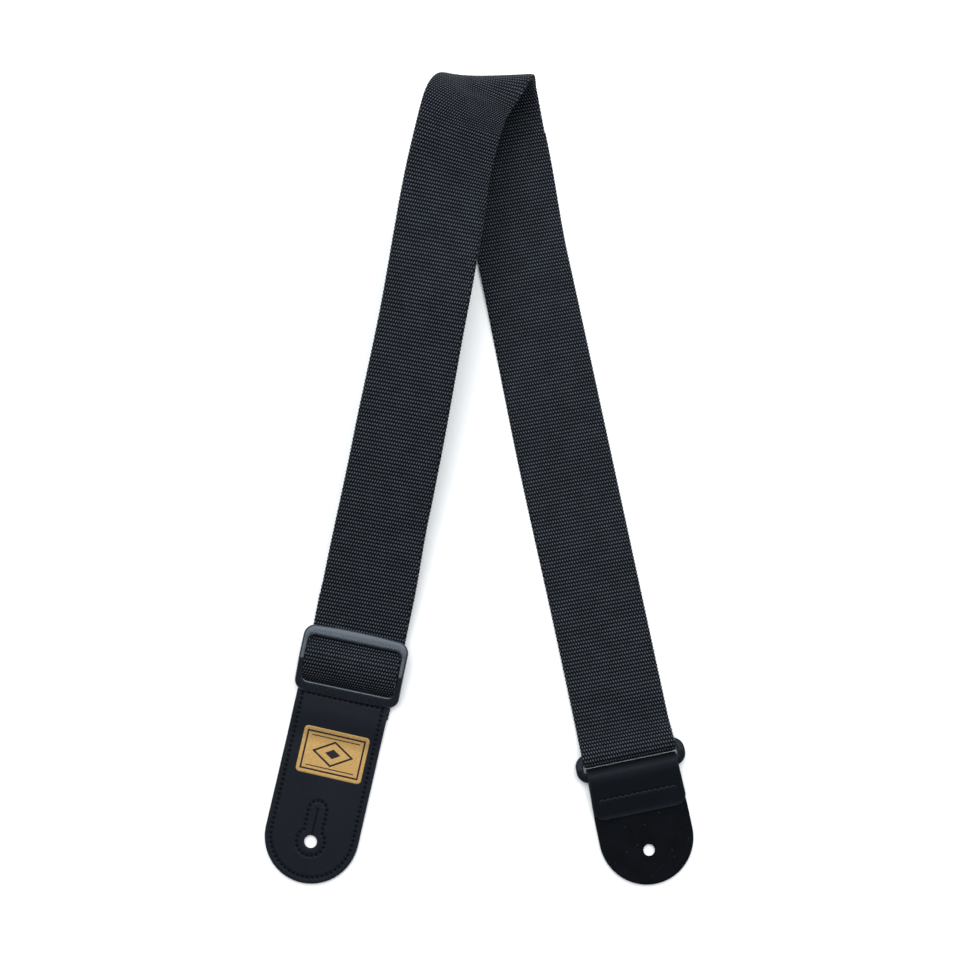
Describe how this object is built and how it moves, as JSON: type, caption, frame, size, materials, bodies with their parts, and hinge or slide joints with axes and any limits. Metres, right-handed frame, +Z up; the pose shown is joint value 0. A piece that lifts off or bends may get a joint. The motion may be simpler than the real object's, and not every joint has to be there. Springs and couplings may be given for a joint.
{
  "type": "guitar strap",
  "caption": "Adjustable guitar strap laid folded on a table: doubled webbing, a sliding adjuster, an end ring and leather tabs slit for strap buttons.",
  "frame": {"origin": "on the table, under the middle of the laid strap's outline", "axes": "+Y from the tabs towards the fold along the laid strap, +Z up from the table, +X towards the leg with the end ring"},
  "size_m": [0.2294, 0.4394, 0.0631],
  "materials": {
    "webbing": "coarse matte weave",
    "leather": "fine grained satin",
    "suede": "napped matte",
    "thread": "twisted thread",
    "moulded_plastic": "finely textured satin",
    "foil": "stamped satin foil"
  },
  "bodies": {
    "strap": {"webbing_front_left": "webbing", "webbing_return_left": "webbing", "webbing_fold_outer": "webbing", "webbing_fold_inner": "webbing", "webbing_right_outer": "webbing", "left_tab_face": "leather", "left_tab_backing": "suede", "left_edge_stitching": "thread", "left_cross_stitching": "thread", "left_slit_stitching": "thread", "emblem_foil": "foil"},
    "slider": {"slider_frame": "moulded_plastic", "webbing_slider_hump": "webbing", "webbing_return_loop": "webbing", "webbing_return_tail": "webbing", "tail_stitching": "thread"},
    "right_end": {"webbing_right_inner": "webbing", "webbing_ring_wrap": "webbing"},
    "ring": {"end_ring": "moulded_plastic"},
    "right_tab": {"right_tab_face": "leather", "right_tab_backing": "suede", "right_edge_stitching": "thread", "right_flap_stitching": "thread", "right_slit_stitching": "thread"}
  },
  "joints": [
    {"name": "slider_slide", "type": "slide", "parent": "strap", "child": "slider", "axis": [0.2035, 0.9554, 0.2138], "range_m": [0, 0.16]},
    {"name": "right_extension", "type": "slide", "parent": "strap", "child": "right_end", "axis": [0.1977, -0.9803, 0], "range_m": [0, 0.08]},
    {"name": "ring_hinge", "type": "hinge", "parent": "right_end", "child": "ring", "pos_m": [0.08034, -0.14916, 0.00435], "axis": [-0.9803, -0.1977, 0], "range_deg": [0, 75]},
    {"name": "tab_hinge", "type": "hinge", "parent": "ring", "child": "right_tab", "pos_m": [0.0823, -0.15886, 0.00435], "axis": [-0.9803, -0.1977, 0], "range_deg": [0, 100]}
  ],
  "couplings": [
    {"joint": "right_extension", "follows": "slider_slide", "ratio": 0.5}
  ]
}
